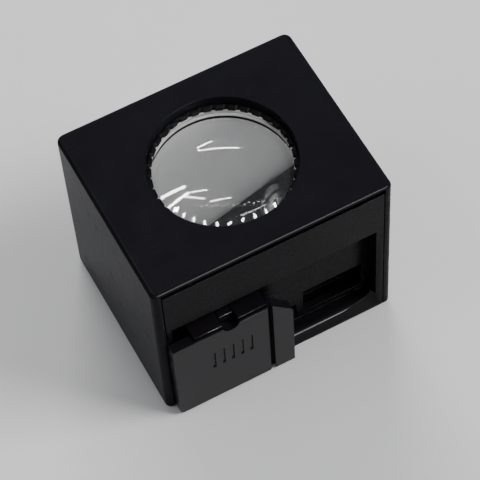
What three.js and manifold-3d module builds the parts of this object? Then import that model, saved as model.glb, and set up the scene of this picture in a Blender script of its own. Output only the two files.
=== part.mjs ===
// Viewing loupe: a box magnifier with a sliding light gate on its front. Units are mm, +Z is up.
// The case stands on z = 0. X runs along the front, and the front faces -Y.
import * as THREE from 'three';
import { mergeVertices } from 'three/addons/utils/BufferGeometryUtils.js';
import Module from 'manifold-3d';

const wasm = await Module();
wasm.setup();

// Case
const CASE = { width: 50, depth: 40.7, height: 42.5, wall: 2.2, top: 2.4 };
const ROUND = { rim: 0.7, front: 0.5, back: 1.6 };  // radii of the case's top rim and upright edges
const BROW = { thickness: 0.9, depth: 1.2 };        // lip of the case over the front panel
const GATE_PROUD = 2.35;              // how far the gate plate's face stands in front of the case
const GAP = 0.15;                     // seam between fitted pieces
const PAST = 1;                       // how far a cutting tool runs past the face that it cuts
const BITE = 0.5;                     // how far joined blocks run into each other
const PILOT = 1.4;                    // depth of a screw hole in a wall

// The origin is under the middle of the whole object, with the gate plate counted in.
const FRONT = -(CASE.depth + GATE_PROUD) / 2 + GATE_PROUD;
const BACK = FRONT + CASE.depth;
const AXIS_Y = (FRONT + BACK) / 2;    // the lens axis is centred on the case
const INNER_X = CASE.width / 2 - CASE.wall;
const INNER_BACK = BACK - CASE.wall;
const CEILING = CASE.height - CASE.top;
const FOOT = -5;                      // depth to which cuts that open the underside run

// Front panel with its recess, which is the track of the gate
const PANEL = { halfWidth: 23.1, top: 40.55, skin: 2, depth: 5.3, pocketTop: 30.2 };
const RECESS = { left: -22, right: 21.5, bottom: 3.5, top: 28.5, depth: 3.7 };
const SLOT = { left: -18.5, right: 5.8, bottom: 5, top: 9 };
const PORT = { left: 7.3, right: 20.3, bottom: 5, top: 12.6 };

// Lens and its cell
const LENS = { radius: 13.9, curve: 43, edge: 4.24, bottom: 34.9 };   // flat below, domed above
const CELL = { bore: 14.4, outer: 16.2, bottom: 33.1, lip: 13.4, lipTop: 34.2 };
const EAR = { radius: 2.6, reach: 18.9, bottom: 37, top: 38.45, boss: 2.3 };
const RING = { inner: 13.4, outer: 14.25, bottom: 39.4, top: 40.4, notches: 36, notchRadius: 0.42 };
const CUSHION = { inner: 13.45, outer: 14.1, bottom: 34.3, top: 34.8 };

// Base and rear window
const BASE = { thickness: 2, apertureX: 36, apertureY: 24, clearance: 0.2, sink: 1.4 };
const BAFFLE = { halfWidth: 18.2, thickness: 1.2, top: 4.7 };   // stops light from the port at the base
const POST = { left: 18.5, depth: 4.4, front: FRONT + 8.2, hole: 9 };
const WINDOW = { halfWidth: 16, bottom: 7.6, top: 30.4, corner: 2 };
const PANE = { halfWidth: 17.2, bottom: 7.2, top: 31.6, thickness: 1.2 };
const BEZEL = { halfWidth: 18.2, bottom: 3.4, top: 32.8, depth: 2.5, screwX: 12, screwZ: 5.7 };

const BEZEL_FACE = INNER_BACK - GAP - BEZEL.depth;

// Sliding gate, drawn with the gate at its left stop
const PLATE = { left: -23.35, right: 2, bottom: 0.4, top: 24.4, thickness: 2.1, corner: 1 };
const FLANGE = { left: -2.25, cutLow: 19.65, groove: 1.05, grooveDepth: 0.9 };
const GRIP = { left: -15.5, pitch: 2, count: 5, width: 0.7, depth: 0.3, bottom: 12, top: 17.5 };
const NOTCH = { x: -11, radius: 1.76, bottom: 23, backing: 0.05 };
const CARRIAGE = { left: -18.5, right: -3.15, bottom: 3.9, top: 24.9, front: 0.1, depth: 3.5 };
const RIDGE = { bottom: 23.5, proud: 1.7 };
const PEGS = [-17, -5.5];             // where the carriage's two pegs enter the plate
const PEG = { radius: 0.9, hole: 1.2, reach: 1.1, holeDepth: 1.55, z: 9 };
const BOSS = { left: -18.3, right: -13.9, bottom: 5.2, top: 8.8 };
const KEEPER = { left: -20.5, right: -11.7, bottom: 4.9, top: 22, front: 6.35, thickness: 1 };
const KEEPER_SCREWS = { x: [-17.25, -14.95], z: 7, length: 4, holeEnd: 2.2, clearance: 0.05 };
const LEAF = {
  left: -17.5, right: -14.5, bottom: 10.5, top: 21.5, bow: 0.55, thickness: 0.2, clearance: 0.1,
};
const BUTTON = { halfWidth: 1.43, bottom: 19.2, top: 25, depth: 1.7, shoulder: 1.8, shoulderTop: 20.2 };
const BUTTON_INSET = 0.05;            // from the case's front plane back to the button's face
const POCKET = { narrow: 1.6, wide: 2, ledge: 20.35, floor: 14.2, depth: 1.9 };
const SPRING = { radius: 0.85, wire: 0.16, turns: 5, bottom: 14.5, top: 19.05, inset: 0.95, squeeze: 0.75 };

const SEATING = 0.1;                  // from a screw head to the face it seats on
const SCREW = { shank: 0.8, hole: 1.1, head: 1.5, headHeight: 1, drive: 0.4 };
const SMALL_SCREW = { shank: 0.5, hole: 0.8, head: 1, headHeight: 0.55, drive: 0.3 };

const PLASTIC = { color: 0x17171a, roughness: 0.38, metalness: 0 };
const SLIDER = { color: 0x202023, roughness: 0.42, metalness: 0 };
const STEEL = { color: 0xb4b4b8, roughness: 0.3, metalness: 1 };
const ANODISED = { color: 0x121214, roughness: 0.45, metalness: 0.6 };
const OPAL = { color: 0xf0efe8, roughness: 0.5, metalness: 0 };
const GLASS = { color: 0xf4f8fa, roughness: 0.02, metalness: 0, transparent: true, opacity: 0.35 };
const NYLON = { color: 0xe6e6e2, roughness: 0.5, metalness: 0 };

// ---- solids -------------------------------------------------------------------------------

function solid(geometry) {
  geometry.deleteAttribute('normal');
  geometry.deleteAttribute('uv');
  const merged = mergeVertices(geometry, 1e-4);
  return new wasm.Manifold(new wasm.Mesh({
    numProp: 3,
    vertProperties: new Float32Array(merged.attributes.position.array),
    triVerts: new Uint32Array(merged.index.array),
  }));
}

function geometryOf(body) {
  const mesh = body.getMesh();
  const geometry = new THREE.BufferGeometry();
  geometry.setAttribute('position', new THREE.BufferAttribute(mesh.vertProperties, 3));
  geometry.setIndex(new THREE.BufferAttribute(mesh.triVerts, 1));
  geometry.computeVertexNormals();
  return geometry;
}

/** A box between two corners, given as [low, high] on each axis. */
function block([x0, x1], [y0, y1], [z0, z1]) {
  const box = new THREE.BoxGeometry(x1 - x0, y1 - y0, z1 - z0);
  return solid(box.translate((x0 + x1) / 2, (y0 + y1) / 2, (z0 + z1) / 2));
}

/** An upright disc or bar of the given radius. */
function upright(radius, x, y, [z0, z1], sides = 24) {
  const bar = new THREE.CylinderGeometry(radius, radius, z1 - z0, sides);
  return solid(bar.rotateX(Math.PI / 2).translate(x, y, (z0 + z1) / 2));
}

/** A bar of the given radius that lies along Y. */
function alongY(radius, x, [y0, y1], z, sides = 24) {
  const bar = new THREE.CylinderGeometry(radius, radius, y1 - y0, sides);
  return solid(bar.translate(x, (y0 + y1) / 2, z));
}

/** A ring or disc turned about the lens axis, from its [radius, height] outline. */
function turned(outline, sides = 72) {
  const points = outline.map(([r, z]) => new THREE.Vector2(r, z));
  if (outline[0][0] > 0) points.push(points[0].clone());
  return solid(new THREE.LatheGeometry(points, sides).rotateX(Math.PI / 2).translate(0, AXIS_Y, 0));
}

/** A rectangle whose corners are rounded: [front-left, front-right, back-right, back-left]. */
function roundedRectangle([x0, x1], [y0, y1], [fl, fr, br, bl]) {
  const shape = new THREE.Shape();
  shape.absarc(x1 - fr, y0 + fr, fr, -Math.PI / 2, 0);
  shape.absarc(x1 - br, y1 - br, br, 0, Math.PI / 2);
  shape.absarc(x0 + bl, y1 - bl, bl, Math.PI / 2, Math.PI);
  shape.absarc(x0 + fl, y0 + fl, fl, Math.PI, Math.PI * 1.5);
  return shape;
}

/** A shape drawn in X and Z, given a thickness along Y. */
function standing(shape, [y0, y1], curveSegments = 8) {
  const options = { depth: y1 - y0, bevelEnabled: false, curveSegments };
  return solid(new THREE.ExtrudeGeometry(shape, options).rotateX(Math.PI / 2).translate(0, y1, 0));
}

/** A shape drawn in Y and Z, given a length along X. */
function crosswise(shape, [x0, x1], curveSegments = 12) {
  const bar = new THREE.ExtrudeGeometry(shape, { depth: x1 - x0, bevelEnabled: false, curveSegments });
  const turn = new THREE.Matrix4().makeBasis(
    new THREE.Vector3(0, 1, 0), new THREE.Vector3(0, 0, 1), new THREE.Vector3(1, 0, 0));
  return solid(bar.applyMatrix4(turn).translate(x0, 0, 0));
}

function cut(body, ...tools) {
  return tools.reduce((left, tool) => left.subtract(tool), body);
}

function join(body, ...others) {
  return others.reduce((whole, other) => whole.add(other), body);
}

// ---- pieces -------------------------------------------------------------------------------

const loupe = new THREE.Group();

function piece(name, body, finish) {
  const mesh = new THREE.Mesh(geometryOf(body), new THREE.MeshStandardMaterial(finish));
  mesh.name = name;
  loupe.add(mesh);
  return mesh;
}

const corners = [[-1, -1], [1, -1], [1, 1], [-1, 1]];
const earCentres = corners.map(([sx, sy]) => [
  sx * EAR.reach * Math.SQRT1_2,
  AXIS_Y + sy * EAR.reach * Math.SQRT1_2,
]);
const postStart = (sy) => (sy < 0 ? POST.front : INNER_BACK - POST.depth);
const postCentres = corners.map(([sx, sy]) => [
  sx * (POST.left + INNER_X) / 2,
  postStart(sy) + POST.depth / 2,
]);

function outerCase() {
  const acrossX = [-CASE.width / 2, CASE.width / 2];
  const plan = roundedRectangle(acrossX, [FRONT, BACK], [ROUND.front, ROUND.front, ROUND.back, ROUND.back]);
  const upToTop = [-2 * ROUND.rim, CASE.height];
  const rim = Array(4).fill(ROUND.rim);
  const blank = solid(new THREE.ExtrudeGeometry(plan, {
    depth: CASE.height,
    bevelEnabled: false,
    curveSegments: 5,
  }));
  const outer = blank
    .intersect(standing(roundedRectangle(acrossX, upToTop, rim), [FRONT - PAST, BACK + PAST], 5))
    .intersect(crosswise(roundedRectangle([FRONT, BACK], upToTop, rim), [-CASE.width, CASE.width], 5));
  const room = block([-INNER_X, INNER_X], [FRONT - PAST, INNER_BACK], [FOOT, CEILING]);
  const rebate = block(
    [-PANEL.halfWidth - GAP, PANEL.halfWidth + GAP],
    [FRONT - PAST, FRONT + PANEL.depth + GAP],
    [FOOT, PANEL.top + GAP],
  );
  const shadowLine = block(
    [-PANEL.halfWidth - GAP, PANEL.halfWidth + GAP],
    [FRONT - PAST, FRONT + BROW.depth],
    [PANEL.top, CASE.height - BROW.thickness],
  );
  const posts = corners.map(([sx, sy]) => block(
    sx < 0 ? [-INNER_X - BITE, -POST.left] : [POST.left, INNER_X + BITE],
    [postStart(sy), postStart(sy) + POST.depth + (sy > 0 ? BITE : 0)],
    [BASE.thickness + GAP, CEILING + BITE],
  ));
  const bosses = earCentres.map(([x, y]) => upright(EAR.boss, x, y, [EAR.top + GAP, CEILING + BITE]));
  const bossHoles = earCentres.map(([x, y]) => upright(SCREW.hole, x, y, [EAR.top, CEILING + PAST]));
  const postHoles = postCentres.map(([x, y]) => upright(SCREW.hole, x, y, [0, POST.hole], 16));
  const windowShape = roundedRectangle(
    [-WINDOW.halfWidth, WINDOW.halfWidth],
    [WINDOW.bottom, WINDOW.top],
    Array(4).fill(WINDOW.corner),
  );
  const bezelHoles = [-1, 1].map((side) => alongY(
    SCREW.hole, side * BEZEL.screwX, [INNER_BACK - PAST, INNER_BACK + PILOT], BEZEL.screwZ, 16));
  const hollow = cut(
    outer,
    room,
    rebate,
    shadowLine,
    upright(CELL.bore, 0, AXIS_Y, [CEILING - PAST, CASE.height + PAST], 72),
  );
  return cut(
    join(hollow, ...posts, ...bosses),
    ...bossHoles,
    ...postHoles,
    ...bezelHoles,
    standing(windowShape, [INNER_BACK - PAST, BACK + PAST]),
  );
}

function frontPanel() {
  const back = FRONT + PANEL.depth;
  const wall = [FRONT + RECESS.depth - PAST, back + PAST];
  return cut(
    join(
      block([-PANEL.halfWidth, PANEL.halfWidth], [FRONT, FRONT + PANEL.skin], [0, PANEL.top]),
      block([-PANEL.halfWidth, PANEL.halfWidth], [FRONT, back], [BASE.thickness + GAP, PANEL.pocketTop]),
    ),
    block([RECESS.left, RECESS.right], [FRONT - PAST, FRONT + RECESS.depth], [RECESS.bottom, RECESS.top]),
    block([SLOT.left, SLOT.right], wall, [SLOT.bottom, SLOT.top]),
    block([PORT.left, PORT.right], wall, [PORT.bottom, PORT.top]),
  );
}

function lensBody() {
  const { radius, curve, edge, bottom } = LENS;
  const steps = 10;
  const angle = Math.asin(radius / curve);
  const dome = Array.from({ length: steps + 1 }, (_, i) => {
    const a = angle * (1 - i / steps);
    return [curve * Math.sin(a), bottom + edge + curve * (Math.cos(a) - Math.cos(angle))];
  });
  return turned([[0, bottom], [radius, bottom], ...dome], 64);
}

function lensCell() {
  const { bore, outer, bottom, lip, lipTop } = CELL;
  const tube = turned([[lip, bottom], [outer, bottom], [outer, CEILING - GAP], [bore, CEILING - GAP],
    [bore, lipTop], [lip, lipTop]]);
  const tips = earCentres.map(([x, y]) => upright(EAR.radius, x, y, [EAR.bottom, EAR.top]));
  const webs = corners.map(([sx, sy]) => {
    const start = (bore + outer) / 2;
    const web = new THREE.BoxGeometry(EAR.reach - start, 2 * EAR.radius, EAR.top - EAR.bottom);
    web.translate((EAR.reach + start) / 2, 0, (EAR.top + EAR.bottom) / 2);
    return solid(web.rotateZ(Math.atan2(sy, sx)).translate(0, AXIS_Y, 0));
  });
  const through = [EAR.bottom - PAST, EAR.top + PAST];
  const holes = earCentres.map(([x, y]) => upright(SCREW.hole, x, y, through, 16));
  return cut(join(tube, ...tips, ...webs), ...holes);
}

function retainingRing() {
  const { inner, outer, bottom, top, notches, notchRadius } = RING;
  const ring = turned([[inner, bottom], [outer, bottom], [outer, top], [inner, top]], notches * 3);
  const tools = Array.from({ length: notches }, (_, i) => {
    const a = (2 * Math.PI * i) / notches;
    const [x, y] = [inner * Math.cos(a), AXIS_Y + inner * Math.sin(a)];
    return upright(notchRadius, x, y, [bottom - PAST, top + PAST], 8);
  });
  return cut(ring, ...tools);
}

function baseFrame() {
  const side = INNER_X - BASE.clearance;
  const y0 = FRONT + PANEL.skin + GAP;
  const { apertureX, apertureY, thickness } = BASE;
  const holes = postCentres.flatMap(([x, y]) => [
    upright(SCREW.hole, x, y, [-PAST, thickness + PAST], 16),
    upright(SCREW.head + BASE.clearance, x, y, [-PAST, BASE.sink]),
  ]);
  const apertureFront = AXIS_Y - apertureY / 2;
  const through = [-PAST, thickness + PAST];
  const frame = cut(
    block([-side, side], [y0, INNER_BACK - BASE.clearance], [0, thickness]),
    block([-apertureX / 2, apertureX / 2], [apertureFront, AXIS_Y + apertureY / 2], through),
    ...holes,
  );
  const baffle = block(
    [-BAFFLE.halfWidth, BAFFLE.halfWidth],
    [apertureFront - BAFFLE.thickness, apertureFront],
    [0, BAFFLE.top],
  );
  return join(frame, baffle);
}

function rearPane() {
  return block(
    [-PANE.halfWidth, PANE.halfWidth],
    [BEZEL_FACE, BEZEL_FACE + PANE.thickness],
    [PANE.bottom, PANE.top],
  );
}

/** The frame that holds the pane in front of the window, with its screws below the pane. */
function paneBezel() {
  const through = [BEZEL_FACE - PAST, INNER_BACK];
  const holes = [-1, 1].map((side) => alongY(SCREW.hole, side * BEZEL.screwX, through, BEZEL.screwZ, 16));
  return cut(
    block([-BEZEL.halfWidth, BEZEL.halfWidth], [BEZEL_FACE, INNER_BACK - GAP], [BEZEL.bottom, BEZEL.top]),
    block(
      [-PANE.halfWidth - GAP, PANE.halfWidth + GAP],
      [BEZEL_FACE - PAST, BEZEL_FACE + PANE.thickness + GAP],
      [PANE.bottom - GAP, PANE.top + GAP],
    ),
    block([-WINDOW.halfWidth, WINDOW.halfWidth], through, [WINDOW.bottom, WINDOW.top]),
    ...holes,
  );
}

function notchTool() {
  const span = [FRONT - GATE_PROUD - PAST, FRONT - NOTCH.backing];
  const z = NOTCH.bottom + NOTCH.radius;
  return join(
    alongY(NOTCH.radius, NOTCH.x, span, z),
    block([NOTCH.x - NOTCH.radius, NOTCH.x + NOTCH.radius], span, [z, CARRIAGE.top + PAST]),
  );
}

function gatePlate() {
  const face = FRONT - GATE_PROUD;
  const { left, right, bottom, top, thickness, corner } = PLATE;
  const shape = new THREE.Shape();
  shape.moveTo(right, bottom);
  shape.lineTo(right, FLANGE.cutLow);
  shape.lineTo(FLANGE.left, top);
  shape.lineTo(left, top);
  shape.absarc(left + corner, bottom + corner, corner, Math.PI, Math.PI * 1.5);
  const channel = new THREE.Shape();
  channel.moveTo(FLANGE.left - FLANGE.groove, face - PAST);
  channel.lineTo(FLANGE.left, face - PAST);
  channel.lineTo(FLANGE.left, face + FLANGE.grooveDepth);
  channel.quadraticCurveTo(FLANGE.left - FLANGE.groove / 2, face + FLANGE.grooveDepth,
    FLANGE.left - FLANGE.groove, face);
  const groove = solid(new THREE.ExtrudeGeometry(channel, {
    depth: top + 2 * PAST,
    bevelEnabled: false,
    curveSegments: 6,
  }).translate(0, 0, -PAST));
  const grip = Array.from({ length: GRIP.count }, (_, i) => {
    const x = GRIP.left + GRIP.pitch * i;
    return block([x, x + GRIP.width], [face - PAST, face + GRIP.depth], [GRIP.bottom, GRIP.top]);
  });
  const pegHoles = PEGS.map((x) => alongY(PEG.hole, x, [FRONT - PEG.holeDepth, FRONT], PEG.z, 16));
  const ridgeSeat = block(
    [CARRIAGE.left - GAP, CARRIAGE.right + GAP],
    [FRONT - RIDGE.proud - GAP, FRONT],
    [RIDGE.bottom - GAP, top + PAST],
  );
  const slab = standing(shape, [face, face + thickness]);
  return cut(slab, notchTool(), ridgeSeat, groove, ...grip, ...pegHoles);
}

function gateCarriage() {
  const { left, right, bottom, top, depth } = CARRIAGE;
  const bossSpan = [FRONT + depth - BITE, FRONT + KEEPER.front - KEEPER_SCREWS.clearance];
  const face = FRONT - CARRIAGE.front;
  const body = join(
    block([left, right], [face, FRONT + depth], [bottom, top]),
    block([left, right], [FRONT - RIDGE.proud, FRONT], [RIDGE.bottom, top]),
    block([BOSS.left, BOSS.right], bossSpan, [BOSS.bottom, BOSS.top]),
    ...PEGS.map((x) => alongY(PEG.radius, x, [face - PEG.reach, FRONT + BITE], PEG.z, 16)),
  );
  const pocket = [FRONT - PAST, FRONT + POCKET.depth];
  const screwHole = [FRONT + KEEPER_SCREWS.holeEnd, FRONT + KEEPER.front + PAST];
  return cut(
    body,
    notchTool(),
    block([NOTCH.x - POCKET.narrow, NOTCH.x + POCKET.narrow], pocket, [POCKET.floor, top + PAST]),
    block([NOTCH.x - POCKET.wide, NOTCH.x + POCKET.wide], pocket, [POCKET.floor, POCKET.ledge]),
    ...KEEPER_SCREWS.x.map((x) => alongY(SMALL_SCREW.hole, x, screwHole, KEEPER_SCREWS.z, 12)),
  );
}

function latchButton() {
  const { halfWidth, bottom, top, depth, shoulder, shoulderTop } = BUTTON;
  const span = [FRONT + BUTTON_INSET, FRONT + BUTTON_INSET + depth];
  return join(
    block([NOTCH.x - halfWidth, NOTCH.x + halfWidth], span, [bottom, top]),
    block([NOTCH.x - shoulder, NOTCH.x + shoulder], span, [bottom, shoulderTop]),
  );
}

class Helix extends THREE.Curve {
  getPoint(t) {
    const a = 2 * Math.PI * SPRING.turns * t;
    const rise = SPRING.top - SPRING.bottom - 2 * SPRING.wire;
    return new THREE.Vector3(
      NOTCH.x + SPRING.radius * Math.cos(a),
      FRONT + SPRING.inset + SPRING.radius * SPRING.squeeze * Math.sin(a),
      SPRING.bottom + SPRING.wire + rise * t,
    );
  }
}

function latchSpring() {
  const section = new THREE.Shape();
  section.absarc(0, 0, SPRING.wire, 0, 2 * Math.PI);
  return solid(new THREE.ExtrudeGeometry(section, {
    steps: SPRING.turns * 14,
    extrudePath: new Helix(),
    curveSegments: 3,
    bevelEnabled: false,
  }));
}

function keeperPlate() {
  const { left, right, bottom, top, front, thickness } = KEEPER;
  const span = [FRONT + front - PAST, FRONT + front + thickness + PAST];
  return cut(
    block([left, right], [FRONT + front, FRONT + front + thickness], [bottom, top]),
    ...KEEPER_SCREWS.x.map((x) => alongY(SMALL_SCREW.hole, x, span, KEEPER_SCREWS.z, 12)),
  );
}

/** A thin strip whose middle bows towards the front panel. */
function leafSpring() {
  const { left, right, bottom, top, bow, thickness } = LEAF;
  const seat = FRONT + KEEPER.front - LEAF.clearance;
  const middle = (bottom + top) / 2;
  const shape = new THREE.Shape();
  shape.moveTo(seat, bottom);
  shape.quadraticCurveTo(seat - 2 * bow, middle, seat, top);
  shape.lineTo(seat - thickness, top);
  shape.quadraticCurveTo(seat - thickness - 2 * bow, middle, seat - thickness, bottom);
  return crosswise(shape, [left, right]);
}

/** A cross-head screw: its head is below z = 0 and its shank runs up from there. */
function screw({ shank, head, headHeight, drive }, length) {
  const depth = [-headHeight - PAST, -headHeight / 2];
  const reach = head * 0.6;
  return cut(
    join(upright(head, 0, 0, [-headHeight, 0], 20), upright(shank, 0, 0, [-headHeight / 2, length], 12)),
    block([-reach, reach], [-drive / 2, drive / 2], depth),
    block([-drive / 2, drive / 2], [-reach, reach], depth),
  );
}

function placeScrews(name, spec, length, seats, turn = 0) {
  seats.forEach(([x, y, z], i) => {
    const mesh = piece(`${name}_${i + 1}`, screw(spec, length), STEEL);
    mesh.position.set(x, y, z);
    mesh.rotation.x = turn;
  });
}

piece('outer_case', outerCase(), PLASTIC);
piece('front_panel', frontPanel(), PLASTIC);
piece('lens_cell', lensCell(), ANODISED);
const { inner, outer, bottom, top } = CUSHION;
piece('cushion_ring', turned([[inner, bottom], [outer, bottom], [outer, top], [inner, top]], 48), NYLON);
piece('magnifier_lens', lensBody(), GLASS);
piece('retaining_ring', retainingRing(), ANODISED);
placeScrews('cell_screw', SCREW, 3.6, earCentres.map(([x, y]) => [x, y, EAR.bottom - SEATING]));
piece('base_frame', baseFrame(), PLASTIC);
placeScrews('base_screw', SCREW, 7, postCentres.map(([x, y]) => [x, y, BASE.sink - SEATING]));
piece('rear_pane', rearPane(), OPAL);
piece('pane_bezel', paneBezel(), PLASTIC);
const bezelSeats = [-BEZEL.screwX, BEZEL.screwX].map((x) => [x, BEZEL_FACE - SEATING, BEZEL.screwZ]);
placeScrews('pane_screw', SCREW, 3.6, bezelSeats, -Math.PI / 2);
piece('gate_plate', gatePlate(), SLIDER);
piece('gate_carriage', gateCarriage(), SLIDER);
piece('keeper_plate', keeperPlate(), STEEL);
const keeperBack = FRONT + KEEPER.front + KEEPER.thickness + KEEPER_SCREWS.clearance;
const keeperSeats = KEEPER_SCREWS.x.map((x) => [x, keeperBack, KEEPER_SCREWS.z]);
placeScrews('keeper_screw', SMALL_SCREW, KEEPER_SCREWS.length, keeperSeats, Math.PI / 2);
piece('gate_leaf_spring', leafSpring(), STEEL);
piece('latch_button', latchButton(), SLIDER);
piece('latch_spring', latchSpring(), STEEL);

export default loupe;
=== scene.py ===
"""Viewing loupe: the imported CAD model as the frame, with finished meshes and materials built around it."""
import math

import bmesh
import bpy
from mathutils import Matrix, Vector


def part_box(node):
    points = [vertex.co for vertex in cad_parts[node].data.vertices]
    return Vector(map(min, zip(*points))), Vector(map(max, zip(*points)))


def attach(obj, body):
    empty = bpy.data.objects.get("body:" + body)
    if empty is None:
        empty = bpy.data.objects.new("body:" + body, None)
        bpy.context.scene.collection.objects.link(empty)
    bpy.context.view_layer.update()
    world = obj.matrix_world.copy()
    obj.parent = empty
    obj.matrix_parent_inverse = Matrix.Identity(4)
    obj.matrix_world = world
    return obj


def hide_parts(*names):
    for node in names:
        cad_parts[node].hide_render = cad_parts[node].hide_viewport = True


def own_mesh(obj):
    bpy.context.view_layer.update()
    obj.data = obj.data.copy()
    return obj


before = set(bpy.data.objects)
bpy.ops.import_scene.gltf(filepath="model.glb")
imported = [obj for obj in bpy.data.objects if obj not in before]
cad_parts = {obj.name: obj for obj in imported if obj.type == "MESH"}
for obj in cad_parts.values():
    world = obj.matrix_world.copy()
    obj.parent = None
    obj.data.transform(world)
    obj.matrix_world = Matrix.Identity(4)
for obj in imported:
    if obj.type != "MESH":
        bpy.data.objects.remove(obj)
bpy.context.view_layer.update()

MM = 0.001
AXIS_XY = (0.0, (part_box("magnifier_lens")[0].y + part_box("magnifier_lens")[1].y) / 2)

# Case moulding, in mm
WALL = 2.2
TOP = 2.4
RIM = 0.9  # radius of the top's edges
FOOT_RIM = 0.5  # radius of the bottom edges
FRONT_CORNER = 1.3
BACK_CORNER = 1.6
BROW = 0.9  # thickness of the lip over the front panel
BROW_DEPTH = 1.2
SEAM = 0.15
SILL = 3.5  # height of the recess's lower edge
SILL_RIM = 2.2  # radius of that edge
WINDOW_INSET = (1.2, 0.4, 1.2)  # from the pane's edges to the rear window: sides, bottom and top
WINDOW_CORNER = 2.0

# Lens group, in mm
LENS_CURVE = 43.0  # radius of the lens's dome
RING_INNER = 13.4
NOTCH_RADIUS = 0.42
NOTCHES = 36
CUSHION_INNER = 13.45

WELD = 0.004  # vertices closer than this are one
NEAR = 0.1  # how close an edge has to be to a face to count as lying on it


# ---- mesh helpers --------------------------------------------------------------------------


def link(name, mesh):
    obj = bpy.data.objects.new(name, mesh)
    bpy.context.scene.collection.objects.link(obj)
    return obj


def from_bmesh(name, bm):
    bmesh.ops.recalc_face_normals(bm, faces=bm.faces[:])
    mesh = bpy.data.meshes.new(name)
    bm.to_mesh(mesh)
    bm.free()
    return link(name, mesh)


def apply_modifiers(obj):
    graph = bpy.context.evaluated_depsgraph_get()
    mesh = bpy.data.meshes.new_from_object(obj.evaluated_get(graph))
    old = obj.data
    obj.modifiers.clear()
    obj.data = mesh
    bpy.data.meshes.remove(old)
    mesh.name = obj.name
    return obj


def shade(obj, angle=32):
    obj.data.shade_smooth()
    obj.data.set_sharp_from_angle(angle=math.radians(angle))
    return obj


def soften(obj, width, segments=3, angle=38):
    """Rounds the sharp edges by width in mm, and keeps the flats flat in shading."""
    bevel = obj.modifiers.new("edges", "BEVEL")
    bevel.width = width * MM
    bevel.segments = segments
    bevel.limit_method = "ANGLE"
    bevel.angle_limit = math.radians(angle)
    bevel.use_clamp_overlap = True
    obj.data.shade_smooth()
    normals = obj.modifiers.new("flats", "WEIGHTED_NORMAL")
    normals.weight = 100
    normals.keep_sharp = True
    return apply_modifiers(obj)


def merged_flats(name, mesh):
    """A copy of a mesh whose flat triangles are joined into whole faces."""
    bm = bmesh.new()
    bm.from_mesh(mesh)
    bmesh.ops.remove_doubles(bm, verts=bm.verts[:], dist=WELD * MM)
    bmesh.ops.dissolve_limit(
        bm, angle_limit=math.radians(0.6), verts=bm.verts[:], edges=bm.edges[:], delimit=set()
    )
    bmesh.ops.triangulate(bm, faces=[face for face in bm.faces if len(face.verts) > 4])
    return from_bmesh(name, bm)


def refined(name, node, width):
    """The CAD node's shape with its edges rounded, as a new piece."""
    return soften(merged_flats(name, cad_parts[node].data), width)


def round_off(obj, low, high, radius):
    """Rounds the level edges along X that lie inside a box, by radius in mm."""
    bm = bmesh.new()
    bm.from_mesh(obj.data)
    level, crease = 0.01 * MM, 0.5

    def wanted(edge):
        ends = [vert.co for vert in edge.verts]
        along_x = all(abs((ends[0] - ends[1])[i]) < level for i in (1, 2))
        inside = all(low[i] * MM <= end[i] <= high[i] * MM for end in ends for i in range(3))
        return along_x and inside and len(edge.link_faces) == 2 and edge.calc_face_angle(0) > crease

    sharp = [edge for edge in bm.edges if wanted(edge)]
    bmesh.ops.bevel(bm, geom=sharp, offset=radius * MM, segments=8, profile=0.5, affect="EDGES")
    bm.to_mesh(obj.data)
    bm.free()
    return obj


def rounded_top(name, node, radius, width):
    """The CAD node's shape with its top front edge rounded by radius, and the other edges by width."""
    low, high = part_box(node)
    piece = merged_flats(name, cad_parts[node].data)
    face, top = low.y / MM, high.z / MM
    start = (low.x / MM - 1, face - NEAR, top - NEAR)
    round_off(piece, start, (high.x / MM + 1, face + NEAR, top + NEAR), radius)
    return soften(piece, width)


def box_tool(low, high):
    bm = bmesh.new()
    centre = (Vector(low) + Vector(high)) / 2
    size = Vector(high) - Vector(low)
    place = Matrix.Translation(centre) @ Matrix.Diagonal(size).to_4x4()
    bmesh.ops.create_cube(bm, size=1, matrix=place)
    return from_bmesh("tool", bm)


def cut(obj, tools):
    """Takes the tools' volumes out of a solid."""
    for tool in tools:
        modifier = obj.modifiers.new("tool", "BOOLEAN")
        modifier.operation = "DIFFERENCE"
        modifier.solver = "EXACT"
        modifier.object = tool
    apply_modifiers(obj)
    for tool in tools:
        bpy.data.objects.remove(tool)
    return obj


def revolved(name, outline, steps=144, closed=True, radius_at=None):
    """A solid turned about the lens axis. outline is [(radius, z), ...] in mm; radius 0 is on the axis."""
    rings = []
    bm = bmesh.new()
    for radius, z in outline:
        if radius == 0:
            rings.append([bm.verts.new((AXIS_XY[0], AXIS_XY[1], z * MM))])
            continue
        ring = []
        for step in range(steps):
            a = 2 * math.pi * step / steps
            r = radius_at(a, radius) if radius_at else radius
            x, y = AXIS_XY[0] + r * MM * math.cos(a), AXIS_XY[1] + r * MM * math.sin(a)
            ring.append(bm.verts.new((x, y, z * MM)))
        rings.append(ring)
    pairs = list(zip(rings, rings[1:] + rings[:1])) if closed else list(zip(rings, rings[1:]))
    for low, high in pairs:
        for step in range(steps):
            after = (step + 1) % steps
            below = [low[step % len(low)], low[after % len(low)]]
            above = [high[after % len(high)], high[step % len(high)]]
            face = list(dict.fromkeys(below + above))
            if len(face) > 2:
                bm.faces.new(face)
    return from_bmesh(name, bm)


def rounded_outline(corners, radius, steps=5):
    """A closed (radius, z) outline whose corners are rounded."""
    points = []
    count = len(corners)
    for i, corner in enumerate(corners):
        here = Vector(corner)
        before = (Vector(corners[i - 1]) - here).normalized()
        after = (Vector(corners[(i + 1) % count]) - here).normalized()
        start, end = here + before * radius, here + after * radius
        for k in range(steps + 1):
            t = k / steps
            points.append(tuple(start * (1 - t) ** 2 + here * 2 * t * (1 - t) + end * t**2))
    return points


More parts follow.
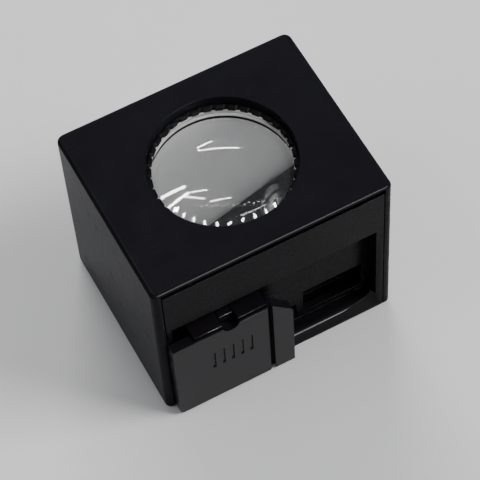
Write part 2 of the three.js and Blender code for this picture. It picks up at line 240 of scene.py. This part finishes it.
def finish_piece(obj, body, nodes, material):
    obj.data.materials.clear()
    obj.data.materials.append(material)
    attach(obj, body)
    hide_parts(*nodes)
    return obj


# ---- materials -----------------------------------------------------------------------------


class Nodes:
    """Small helper that adds shader nodes and links them."""

    def __init__(self, name):
        self.material = bpy.data.materials.new(name)
        self.material.use_nodes = True
        self.tree = self.material.node_tree
        self.shader = next(n for n in self.tree.nodes if n.type == "BSDF_PRINCIPLED")
        self.place = self.add("ShaderNodeTexCoord").outputs["Object"]

    def add(self, kind, **settings):
        node = self.tree.nodes.new(kind)
        for key, value in settings.items():
            setattr(node, key, value)
        return node

    def link(self, source, target):
        self.tree.links.new(source, target)

    def stretched(self, scale, turn=(0, 0, 0)):
        mapping = self.add("ShaderNodeMapping")
        mapping.inputs["Scale"].default_value = scale
        mapping.inputs["Rotation"].default_value = turn
        self.link(self.place, mapping.inputs["Vector"])
        return mapping.outputs["Vector"]

    def noise(self, scale, detail=3, roughness=0.5, place=None, distortion=0):
        """scale is in features per mm."""
        noise = self.add("ShaderNodeTexNoise")
        noise.inputs["Scale"].default_value = scale / MM
        noise.inputs["Detail"].default_value = detail
        noise.inputs["Roughness"].default_value = roughness
        noise.inputs["Distortion"].default_value = distortion
        self.link(place or self.place, noise.inputs["Vector"])
        return noise.outputs["Fac"]

    def remap(self, value, low, high, to_low=0.0, to_high=1.0):
        node = self.add("ShaderNodeMapRange")
        node.inputs["From Min"].default_value = low
        node.inputs["From Max"].default_value = high
        node.inputs["To Min"].default_value = to_low
        node.inputs["To Max"].default_value = to_high
        self.link(value, node.inputs["Value"])
        return node.outputs["Result"]

    def math(self, operation, first, second):
        node = self.add("ShaderNodeMath", operation=operation)
        for socket, value in zip(node.inputs, (first, second)):
            if isinstance(value, (int, float)):
                socket.default_value = value
            else:
                self.link(value, socket)
        return node.outputs["Value"]

    def ramp(self, value, *stops):
        node = self.add("ShaderNodeValToRGB")
        elements = node.color_ramp.elements
        while len(elements) < len(stops):
            elements.new(0.5)
        for element, (position, colour) in zip(elements, stops):
            element.position = position
            element.color = (*colour, 1)
        self.link(value, node.inputs["Fac"])
        return node.outputs["Color"]

    def mix(self, fac, first, second):
        node = self.add("ShaderNodeMix", data_type="RGBA")
        self.link(fac, node.inputs["Factor"])
        for socket, value in ((node.inputs[6], first), (node.inputs[7], second)):
            if isinstance(value, tuple):
                socket.default_value = (*value, 1)
            else:
                self.link(value, socket)
        return node.outputs[2]

    def bump(self, height, distance, strength=1.0, under=None):
        """distance is the height of the relief in mm."""
        node = self.add("ShaderNodeBump")
        node.inputs["Distance"].default_value = distance * MM
        node.inputs["Strength"].default_value = strength
        self.link(height, node.inputs["Height"])
        if under:
            self.link(under, node.inputs["Normal"])
        return node.outputs["Normal"]

    def set(self, **values):
        for name, value in values.items():
            socket = self.shader.inputs[name.replace("_", " ")]
            if isinstance(value, (int, float, tuple)):
                socket.default_value = value
            else:
                self.link(value, socket)
        return self.material


def scratches(n, density, turn):
    """Thin straight marks: 1 on a mark and 0 elsewhere."""
    fine = n.noise(1, 1, 0.4, n.stretched((0.02, 2.2, 2.2), turn))
    line = n.remap(fine, 0.5 - density, 0.5 + density)
    ridge = n.math("SUBTRACT", 1, n.math("ABSOLUTE", n.math("SUBTRACT", n.math("MULTIPLY", line, 2), 1), 0))
    patch = n.remap(n.noise(0.09, 2), 0.52, 0.66)
    return n.math("MULTIPLY", ridge, patch)


def moulded_plastic(name, dark, light, roughness, index, grain):
    """Black moulded plastic: fine grain, faint smears and handling marks. index is the refractive index."""
    n = Nodes(name)
    cloud = n.noise(0.12, 4, 0.6)
    base = n.ramp(cloud, (0.3, dark), (0.7, light))
    marks = n.math("MAXIMUM", scratches(n, 0.012, (0, 0, 0.5)), scratches(n, 0.01, (0, 0, -0.9)))
    worn = n.mix(n.math("MULTIPLY", marks, 0.3), base, tuple(c * 2 + 0.002 for c in light))
    dust = n.remap(n.noise(3.1, 1, 0.3), 0.8, 0.84)
    colour = n.mix(n.math("MULTIPLY", dust, 0.25), worn, (0.12, 0.12, 0.115))
    smear = n.remap(n.noise(0.3, 5, 0.65, distortion=0.4), 0.3, 0.7, roughness - 0.01, roughness + 0.02)
    fine = n.noise(9, 2, 0.5)
    normal = n.bump(fine, grain)
    normal = n.bump(marks, -0.0006, under=normal)
    n.set(
        Base_Color=colour,
        Roughness=n.math("ADD", smear, n.math("MULTIPLY", marks, 0.03)),
        Normal=normal,
        IOR=index,
    )
    return n.material


def black_metal():
    """Black anodised aluminium with fine turning lines about the lens axis."""
    n = Nodes("black_anodised")
    shift = n.add("ShaderNodeVectorMath", operation="SUBTRACT")
    shift.inputs[1].default_value = (*AXIS_XY, 0)
    n.link(n.place, shift.inputs[0])
    flat = n.add("ShaderNodeVectorMath", operation="MULTIPLY")
    flat.inputs[1].default_value = (1, 1, 0)
    n.link(shift.outputs[0], flat.inputs[0])
    length = n.add("ShaderNodeVectorMath", operation="LENGTH")
    n.link(flat.outputs[0], length.inputs[0])
    rings = n.add("ShaderNodeMath", operation="SINE")
    lines_per_mm = 9
    n.link(n.math("MULTIPLY", length.outputs["Value"], 2 * math.pi * lines_per_mm / MM), rings.inputs[0])
    base = n.ramp(n.noise(0.5, 4), (0.3, (0.003, 0.003, 0.0036)), (0.75, (0.007, 0.007, 0.008)))
    rough = n.remap(n.noise(1.5, 3), 0.3, 0.7, 0.38, 0.48)
    n.set(
        Base_Color=base,
        Roughness=rough,
        Normal=n.bump(rings.outputs["Value"], 0.003, 0.6),
        IOR=1.12,
    )
    return n.material


def lens_glass():
    n = Nodes("lens_glass")
    n.set(Base_Color=(1, 1, 1, 1), Transmission_Weight=1.0, IOR=1.52, Coat_Weight=0.6, Coat_Roughness=0.05)
    film = n.noise(0.25, 4, 0.6)
    n.set(Roughness=n.remap(film, 0.35, 0.8, 0.0, 0.003))
    return n.material


def opal_sheet():
    """White sheet that scatters the light coming through it."""
    n = Nodes("opal_sheet")
    tint = n.ramp(n.noise(0.4, 5, 0.6), (0.3, (0.93, 0.93, 0.915)), (0.7, (0.985, 0.985, 0.975)))
    n.set(
        Base_Color=tint,
        Roughness=n.remap(n.noise(2, 3), 0.3, 0.7, 0.5, 0.62),
        Normal=n.bump(n.noise(6, 2), 0.004),
        Subsurface_Weight=1.0,
        Subsurface_Radius=(1.0, 1.0, 1.0),
        Subsurface_Scale=0.0012,
    )
    return n.material


def white_nylon():
    """Milky nylon with a faint fine-grained relief."""
    n = Nodes("white_nylon")
    cloud = n.noise(0.7, 4, 0.6)
    n.set(
        Base_Color=n.ramp(cloud, (0.3, (0.6, 0.6, 0.58)), (0.7, (0.7, 0.7, 0.68))),
        Roughness=n.remap(n.noise(2.5, 3), 0.3, 0.7, 0.4, 0.58),
        Normal=n.bump(n.noise(7, 3), 0.006),
        Subsurface_Weight=0.3,
        Subsurface_Radius=(1.0, 1.0, 0.9),
        Subsurface_Scale=0.0006,
    )
    return n.material


def plated_steel():
    n = Nodes("plated_steel")
    grain = n.noise(5, 3, 0.6, n.stretched((0.15, 1.6, 1.6)))
    n.set(
        Base_Color=n.ramp(n.noise(0.8, 4), (0.3, (0.46, 0.46, 0.48)), (0.7, (0.62, 0.62, 0.63))),
        Metallic=1.0,
        Roughness=n.remap(grain, 0.3, 0.7, 0.24, 0.42),
        Normal=n.bump(grain, 0.004),
    )
    return n.material


CASE_PLASTIC = moulded_plastic(
    "case_plastic", (0.0068, 0.0067, 0.0084), (0.0086, 0.0085, 0.0105),
    roughness=0.26, index=1.07, grain=0.0012,
)
PANEL_PLASTIC = moulded_plastic(
    "panel_plastic", (0.0036, 0.0034, 0.0043), (0.0045, 0.0043, 0.0052),
    roughness=0.27, index=1.1, grain=0.0012,
)
GATE_PLASTIC = moulded_plastic(
    "gate_plastic", (0.0052, 0.0042, 0.0057), (0.0062, 0.0052, 0.0068),
    roughness=0.25, index=1.2, grain=0.0012,
)
BLACK_METAL = black_metal()
GLASS = lens_glass()
OPAL = opal_sheet()
NYLON = white_nylon()
STEEL = plated_steel()


# ---- case ----------------------------------------------------------------------------------


def lofted(name, outlines):
    """A solid through a stack of closed outlines that have the same number of points."""
    bm = bmesh.new()
    rings = [[bm.verts.new(point) for point in outline] for outline in outlines]
    for low, high in zip(rings, rings[1:]):
        for i in range(len(low)):
            j = (i + 1) % len(low)
            bm.faces.new((low[i], low[j], high[j], high[i]))
    bm.faces.new(rings[0][::-1])
    bm.faces.new(rings[-1])
    return from_bmesh(name, bm)


def plan_outline(low, high, inset, z):
    """The case seen from above, drawn inwards by inset, with round corners."""
    least_radius, steps = 0.03 * MM, 10
    points = []
    corners = ((-1, -1, FRONT_CORNER), (1, -1, FRONT_CORNER), (1, 1, BACK_CORNER), (-1, 1, BACK_CORNER))
    for i, (sx, sy, radius) in enumerate(corners):
        r = max(radius * MM - inset, least_radius)
        x = (high.x if sx > 0 else low.x) - sx * (inset + r)
        y = (high.y if sy > 0 else low.y) - sy * (inset + r)
        for k in range(steps + 1):
            a = math.pi + math.pi / 2 * (i + k / steps)
            points.append((x + r * math.cos(a), y + r * math.sin(a), z))
    return points


def rounded_block(low, high):
    """A block with rounded upright, top and bottom edges."""
    rim, foot, steps = RIM * MM, FOOT_RIM * MM, 8
    turns = [math.pi / 2 * k / steps for k in range(steps + 1)]
    outlines = []
    for a in turns:
        outlines.append(plan_outline(low, high, foot * (1 - math.sin(a)), low.z + foot * (1 - math.cos(a))))
    for a in turns:
        outlines.append(plan_outline(low, high, rim * (1 - math.cos(a)), high.z - rim * (1 - math.sin(a))))
    return lofted("case_shell", outlines)


def disc_tool(radius, z_low, z_high):
    """An upright disc on the lens axis, to cut with."""
    bm = bmesh.new()
    place = Matrix.Translation((*AXIS_XY, (z_low + z_high) / 2))
    bmesh.ops.create_cone(
        bm, cap_ends=True, segments=144, radius1=radius, radius2=radius, depth=z_high - z_low, matrix=place
    )
    return from_bmesh("tool", bm)


def case_shell():
    low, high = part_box("outer_case")
    shell = rounded_block(low, high)
    panel_low, panel_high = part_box("front_panel")
    pane_low, pane_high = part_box("rear_pane")
    ring_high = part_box("retaining_ring")[1]
    ceiling = high.z - TOP * MM
    inner_back = high.y - WALL * MM
    room = box_tool(
        (low.x + WALL * MM, low.y - MM, low.z - MM),
        (high.x - WALL * MM, inner_back, ceiling),
    )
    rebate = box_tool(
        (panel_low.x - SEAM * MM, low.y - MM, low.z - MM),
        (panel_high.x + SEAM * MM, panel_high.y + SEAM * MM, panel_high.z + SEAM * MM),
    )
    shadow_line = box_tool(
        (panel_low.x - SEAM * MM, low.y - MM, panel_high.z),
        (panel_high.x + SEAM * MM, low.y + BROW_DEPTH * MM, high.z - BROW * MM),
    )
    bore = disc_tool(ring_high.x + SEAM * MM, ceiling - MM, high.z + MM)
    side, sill = WINDOW_INSET[0] * MM, WINDOW_INSET[1] * MM
    window = box_tool(
        (pane_low.x + side, inner_back - MM, pane_low.z + sill),
        (pane_high.x - side, high.y + MM, pane_high.z - WINDOW_INSET[2] * MM),
    )
    bm = bmesh.new()
    bm.from_mesh(window.data)
    corners = [e for e in bm.edges if abs(e.verts[0].co.y - e.verts[1].co.y) > MM]
    bmesh.ops.bevel(bm, geom=corners, offset=WINDOW_CORNER * MM, segments=10, profile=0.5, affect="EDGES")
    bm.to_mesh(window.data)
    bm.free()
    cut(shell, [room, rebate, shadow_line, bore, window])
    return soften(shell, 0.16)


def front_wall():
    """The front panel, with a well rounded sill below the recess and a rounded bottom edge."""
    low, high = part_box("front_panel")
    wall = merged_flats("front_wall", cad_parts["front_panel"].data)
    left, right, face = low.x / MM - 1, high.x / MM + 1, low.y / MM
    for height, radius in ((low.z / MM, FOOT_RIM), (SILL, SILL_RIM)):
        round_off(wall, (left, face - NEAR, height - NEAR), (right, face + NEAR, height + NEAR), radius)
    return soften(wall, 0.15)


finish_piece(case_shell(), "case", ["outer_case"], CASE_PLASTIC)
finish_piece(front_wall(), "case", ["front_panel"], PANEL_PLASTIC)
finish_piece(refined("bottom_frame", "base_frame", 0.2), "case", ["base_frame"], CASE_PLASTIC)
finish_piece(
    refined("window_bezel", "pane_bezel", 0.15), "case", ["pane_bezel"], CASE_PLASTIC
)
finish_piece(refined("window_pane", "rear_pane", 0.1), "case", ["rear_pane"], OPAL)


# ---- lens group ----------------------------------------------------------------------------


def lens():
    """A plano-convex lens: flat below, domed above, with ground chamfers at its edge."""
    low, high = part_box("magnifier_lens")
    radius = (high.x - low.x) / 2 / MM
    top, bottom = high.z / MM, low.z / MM
    chamfer, arris, steps = 0.15, 0.04, 30
    angle = math.asin((radius - chamfer) / LENS_CURVE)
    turns = [angle * (1 - i / steps) for i in range(steps + 1)]
    dome = [(LENS_CURVE * math.sin(a), top - LENS_CURVE * (1 - math.cos(a))) for a in turns]
    under = [(0, bottom), (radius - arris, bottom), (radius, bottom + arris)]
    return revolved("lens_body", under + [(radius, dome[0][1] - chamfer)] + dome, 160, closed=False)


def ring():
    """The notched retaining ring, with a chamfer round its inner edge."""
    low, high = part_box("retaining_ring")
    outer = (high.x - low.x) / 2 / MM
    z0, z1 = low.z / MM, high.z / MM
    chamfer, drop, edge, least_wall, steps_per_notch = 0.5, 0.22, 0.05, 0.1, 20
    foot = [(RING_INNER, z0), (outer, z0)]
    head = [(outer, z1), (RING_INNER + chamfer, z1), (RING_INNER, z1 - drop)]
    outline = rounded_outline(foot + head, edge, 3)

    def radius_at(a, radius):
        if radius > RING_INNER + chamfer + edge + 0.01:
            return radius
        pitch = 2 * math.pi / NOTCHES
        off = (a + pitch / 2) % pitch - pitch / 2
        across = RING_INNER * math.sin(abs(off))
        depth = math.sqrt(NOTCH_RADIUS**2 - across**2) if across < NOTCH_RADIUS else 0
        return min(outer - least_wall, radius + depth)

    return revolved("lock_ring", outline, NOTCHES * steps_per_notch, radius_at=radius_at)


def cushion():
    low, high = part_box("cushion_ring")
    outer = (high.x - low.x) / 2 / MM
    z0, z1 = low.z / MM, high.z / MM
    outline = rounded_outline([(CUSHION_INNER, z0), (outer, z0), (outer, z1), (CUSHION_INNER, z1)], 0.1)
    return revolved("nylon_ring", outline)


finish_piece(shade(lens(), 30), "case", ["magnifier_lens"], GLASS)
finish_piece(shade(ring(), 50), "case", ["retaining_ring"], BLACK_METAL)
finish_piece(shade(cushion(), 60), "case", ["cushion_ring"], NYLON)
finish_piece(refined("lens_cup", "lens_cell", 0.15), "case", ["lens_cell"], BLACK_METAL)


# ---- screws --------------------------------------------------------------------------------


def screw(name, node, outward):
    """A pan-head screw with a cross recess and a thread, in the place of the CAD screw."""
    low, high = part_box(node)
    size = high - low
    along = max(range(3), key=lambda axis: abs(outward[axis]))
    head = size[(along + 1) % 3] / 2
    length = size[along]
    crown, cheek, root, crest, pitch = head * 0.3, head * 0.62, head * 0.5, head * 0.6, head * 0.36
    sides, per_turn, dome_steps = 32, 6, 8
    turns = [math.pi / 2 * k / dome_steps for k in range(dome_steps + 1)]
    dome = [(head * math.sin(a), crown * (1 - math.cos(a))) for a in turns]
    bm = bmesh.new()
    rings = []
    for radius, depth in dome[1:] + [(head, cheek * 0.95), (head * 0.96, cheek), (root, cheek)]:
        rings.append([(radius, depth)] * sides)
    count = int((length - cheek - crown) / pitch * per_turn)
    for k in range(count + 1):
        depth = cheek + k * pitch / per_turn
        ring = []
        for side in range(sides):
            phase = (k / per_turn - side / sides) % 1
            blend = min(1, k / per_turn, (count - k) / per_turn)
            ring.append((root + (crest - root) * blend * max(0, 1 - abs(phase - 0.5) * 3.2), depth))
        rings.append(ring)
    rings.append([(root * 0.6, length)] * sides)
    verts = []
    for ring in rings:
        verts.append([
            bm.verts.new((r * math.cos(2 * math.pi * i / sides), r * math.sin(2 * math.pi * i / sides), h))
            for i, (r, h) in enumerate(ring)
        ])
    for upper, lower in zip(verts, verts[1:]):
        for i in range(sides):
            j = (i + 1) % sides
            bm.faces.new((upper[i], upper[j], lower[j], lower[i]))
    bm.faces.new(verts[0])
    bm.faces.new(verts[-1][::-1])
    body = from_bmesh(name, bm)
    reach, half = head * 0.62, head * 0.13
    slots = [
        box_tool((-reach, -half, -head), (reach, half, cheek * 0.7)),
        box_tool((-half, -reach, -head), (half, reach, cheek * 0.7)),
    ]
    cut(body, slots)
    seat = (low + high) / 2
    seat[along] = high[along] if outward[along] > 0 else low[along]
    turn = Vector((0, 0, 1)).rotation_difference(-Vector(outward)).to_matrix().to_4x4()
    body.data.transform(Matrix.Translation(seat) @ turn)
    return shade(soften(body, 0.03, 2, 50), 40)


for group, count, body, outward in (
    ("cell_screw", 4, "case", (0, 0, -1)),
    ("base_screw", 4, "case", (0, 0, -1)),
    ("pane_screw", 2, "case", (0, -1, 0)),
    ("keeper_screw", 2, "gate", (0, 1, 0)),
):
    for number in range(1, count + 1):
        node = f"{group}_{number}"
        finish_piece(screw(f"{group}_detail_{number}", node, outward), body, [node], STEEL)


# ---- gate ----------------------------------------------------------------------------------


def coil():
    """The latch's coil spring: round wire, with closer turns at the ends."""
    low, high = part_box("latch_spring")
    wire, turns, per_turn, sides = 0.16 * MM, 5, 36, 14
    centre = (low + high) / 2
    reach = ((high.x - low.x) / 2 - wire, (high.y - low.y) / 2 - wire)
    rise = high.z - low.z - 2 * wire
    steps = turns * per_turn
    spots = []
    for k in range(steps + 1):
        a = 2 * math.pi * k / per_turn
        z = low.z + wire + rise * (1 - math.cos(math.pi * k / steps)) / 2
        spots.append(Vector((centre.x + reach[0] * math.cos(a), centre.y + reach[1] * math.sin(a), z)))
    outlines = []
    for k, spot in enumerate(spots):
        ahead = (spots[min(k + 1, steps)] - spots[max(k - 1, 0)]).normalized()
        side = ahead.cross(Vector((0, 0, 1))).normalized()
        up = side.cross(ahead)
        angles = (2 * math.pi * i / sides for i in range(sides))
        outlines.append([spot + wire * (math.cos(a) * side + math.sin(a) * up) for a in angles])
    return lofted("latch_coil", outlines)


finish_piece(
    rounded_top("gate_face", "gate_plate", 0.22, 0.16), "gate", ["gate_plate"], GATE_PLASTIC
)
finish_piece(
    rounded_top("gate_block", "gate_carriage", 0.25, 0.14),
    "gate", ["gate_carriage"], GATE_PLASTIC,
)
finish_piece(refined("gate_keeper", "keeper_plate", 0.1), "gate", ["keeper_plate"], STEEL)
finish_piece(refined("leaf_strip", "gate_leaf_spring", 0.03), "gate", ["gate_leaf_spring"], STEEL)
finish_piece(
    refined("latch_key", "latch_button", 0.12), "latch", ["latch_button"], GATE_PLASTIC
)

spring = finish_piece(shade(coil(), 60), "gate", ["latch_spring"], STEEL)
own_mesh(spring)


# ---- stage, lights and camera --------------------------------------------------------------


def floor():
    bm = bmesh.new()
    half_width = 1.6
    bmesh.ops.create_grid(bm, x_segments=4, y_segments=4, size=half_width)
    obj = from_bmesh("floor", bm)
    n = Nodes("pale_table")
    tone = n.ramp(n.noise(0.02, 3), (0.3, (0.62, 0.62, 0.63)), (0.7, (0.64, 0.64, 0.65)))
    n.set(Base_Color=tone, Roughness=0.55, Specular_IOR_Level=0.3)
    obj.data.materials.append(n.material)
    obj.location.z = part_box("outer_case")[0].z - 0.02 * MM


def area_light(name, position, target, size, power, shows=True, spreads=True):
    """A rectangular lamp. Without shows, gloss and glass don't mirror it; without spreads, only they do."""
    data = bpy.data.lights.new(name, "AREA")
    data.shape = "RECTANGLE"
    data.size, data.size_y = size
    data.energy = power
    obj = bpy.data.objects.new(name, data)
    obj.location = position
    obj.rotation_euler = (Vector(target) - Vector(position)).to_track_quat("-Z", "Y").to_euler()
    obj.visible_camera = False
    obj.visible_glossy = obj.visible_transmission = shows
    obj.visible_diffuse = spreads
    bpy.context.scene.collection.objects.link(obj)


def strip(name, start, end, width, power):
    """A narrow lamp from one point to another, which shows only as a streak in gloss and glass."""
    start, end = Vector(start), Vector(end)
    middle = (start + end) / 2
    aim = (LENS_TOP - middle).normalized()
    along = (end - start) - (end - start).dot(aim) * aim
    data = bpy.data.lights.new(name, "AREA")
    data.shape = "RECTANGLE"
    data.size, data.size_y = along.length, width
    data.energy = power
    obj = bpy.data.objects.new(name, data)
    side = along.normalized()
    turn = Matrix((side, (-aim).cross(side), -aim)).transposed().to_4x4()
    obj.matrix_world = Matrix.Translation(middle) @ turn
    obj.visible_camera = obj.visible_diffuse = False
    bpy.context.scene.collection.objects.link(obj)


def lamp_row(name, start, end, count, power):
    """A zigzag row of small lamps, whose mirror image shows on the lens."""
    size, stagger = 0.006, 0.006
    for i in range(count):
        spot = Vector(start).lerp(Vector(end), i / (count - 1)) + Vector((0, 0, stagger * (i % 2)))
        area_light(f"{name}_{i + 1}", spot, LENS_TOP, (size, size), power, spreads=False)


def surroundings(colour, strength):
    world = bpy.data.worlds.new("studio")
    world.use_nodes = True
    inputs = world.node_tree.nodes["Background"].inputs
    inputs["Color"].default_value = (*colour, 1)
    inputs["Strength"].default_value = strength
    bpy.context.scene.world = world


def camera():
    low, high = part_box("outer_case")
    aim = (low + high) / 2 + Vector((0.07, -5.04, 0)) * MM
    azimuth, elevation, roll, distance = -24.15, 58.3, -4.6, 441.3
    turn = (
        Matrix.Rotation(math.radians(azimuth), 4, "Z")
        @ Matrix.Rotation(math.radians(90 - elevation), 4, "X")
        @ Matrix.Rotation(math.radians(roll), 4, "Z")
    )
    data = bpy.data.cameras.new("camera")
    data.lens = 171.7
    data.sensor_width = 36
    obj = bpy.data.objects.new("camera", data)
    obj.matrix_world = Matrix.Translation(aim) @ turn @ Matrix.Translation((0, 0, distance * MM))
    bpy.context.scene.collection.objects.link(obj)
    bpy.context.scene.camera = obj


LENS_TOP = Vector((*AXIS_XY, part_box("magnifier_lens")[1].z))

# Lamps whose mirror images follow the lens's near rim
NEAR_RIM = (
    (-0.177, 0.153, 0.594), (-0.149, 0.1, 0.614), (-0.11, 0.051, 0.628), (-0.059, 0.009, 0.637),
    (0.004, -0.021, 0.64), (0.074, -0.037, 0.634), (0.142, -0.043, 0.622), (0.208, -0.038, 0.603),
    (0.265, -0.022, 0.58),
)

floor()
surroundings((0.94, 0.96, 1.0), 0.22)
area_light("right_overhead", (1.45, -0.85, 1.65), (0, 0, 0), (1.0, 1.0), 62, shows=False)
area_light("left_overhead", (-1.3, 0.4, 1.9), (0, 0, 0), (1.0, 1.0), 10, shows=False)
area_light("behind", (0.3, 1.2, 0.5), (0, 0, 0.02), (0.8, 0.5), 24, shows=False)
area_light("front_edge", (0.15, -0.62, 0.37), (0, 0, 0.02), (0.3, 0.14), 34, spreads=False)
lamp_row("lamp_row", (0.077, 0.424, 0.465), (0.235, 0.350, 0.476), 14, 0.016)
strip("lamp_bar", (0.075, 0.438, 0.451), (0.15, 0.435, 0.435), 0.007, 0.14)
strip("upper_streak", (-0.211, 0.306, 0.517), (-0.084, 0.29, 0.561), 0.018, 0.5)
strip("lower_streak", (-0.215, 0.237, 0.551), (-0.093, 0.249, 0.58), 0.014, 0.5)
strip("long_streak", (-0.027, 0.144, 0.622), (0.077, 0.108, 0.625), 0.007, 0.1)
strip("left_arc", (-0.123, 0.245, 0.576), (-0.044, 0.174, 0.613), 0.012, 0.14)
area_light("left_spot", (-0.191, 0.206, 0.573), LENS_TOP, (0.025, 0.025), 0.3, spreads=False)
lamp_row("left_row", (-0.084, 0.246, 0.582), (-0.011, 0.213, 0.601), 6, 0.016)
for number, spot in enumerate(NEAR_RIM, 1):
    area_light(f"near_rim_{number}", spot, LENS_TOP, (0.024, 0.012), 0.08, spreads=False)
camera()
